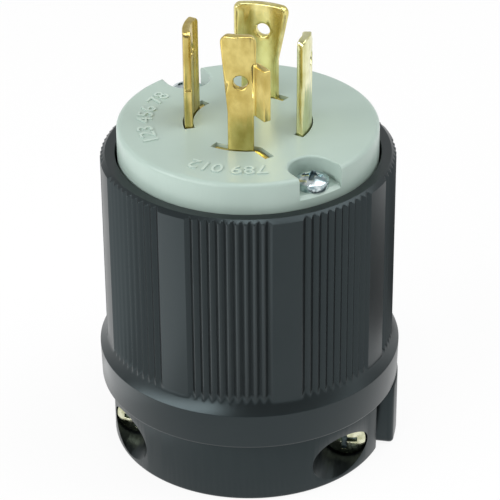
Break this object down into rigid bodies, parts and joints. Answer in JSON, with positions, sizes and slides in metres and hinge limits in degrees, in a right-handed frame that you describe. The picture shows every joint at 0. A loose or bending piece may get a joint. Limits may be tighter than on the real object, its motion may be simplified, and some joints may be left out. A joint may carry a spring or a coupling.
{
  "type": "locking power plug",
  "caption": "Locking power plug with curved brass blades in a round grey nose, a fluted black grip with a flange, and a screwed cord clamp at the rear.",
  "frame": {"origin": "middle of the rear face of the cord clamp, on the plug's axis, at the bottom of the box", "axes": "+Z along the plug's axis, out of the blade face; -Y towards the front jaw of the cord clamp"},
  "size_m": [0.0482, 0.0482, 0.0747],
  "materials": {
    "black_nylon": "satin moulded nylon",
    "grey_nylon": "satin moulded nylon",
    "fibre": "pressed fibre sheet",
    "white_nylon": "moulded nylon",
    "brass": "brushed, unlacquered",
    "zinc_steel": "bright zinc plate"
  },
  "bodies": {
    "root": {"body_shell": "black_nylon", "front_jaw": "black_nylon", "rear_jaw": "black_nylon", "nose_cap": "grey_nylon", "retainer_plate": "fibre", "terminal_housing": "white_nylon", "line_blade_left": "brass", "line_blade_right": "brass", "neutral_blade": "brass", "ground_blade": "brass", "terminal_screw_1": "zinc_steel", "pressure_plate_1": "zinc_steel", "terminal_screw_2": "zinc_steel", "pressure_plate_2": "zinc_steel", "terminal_screw_3": "zinc_steel", "pressure_plate_3": "zinc_steel", "terminal_screw_4": "zinc_steel", "pressure_plate_4": "zinc_steel", "assembly_screw_1": "zinc_steel", "threaded_insert_1": "brass", "clamp_screw_1": "zinc_steel", "clamp_nut_1": "zinc_steel", "assembly_screw_2": "zinc_steel", "threaded_insert_2": "brass", "clamp_screw_2": "zinc_steel", "clamp_nut_2": "zinc_steel"}
  },
  "joints": []
}
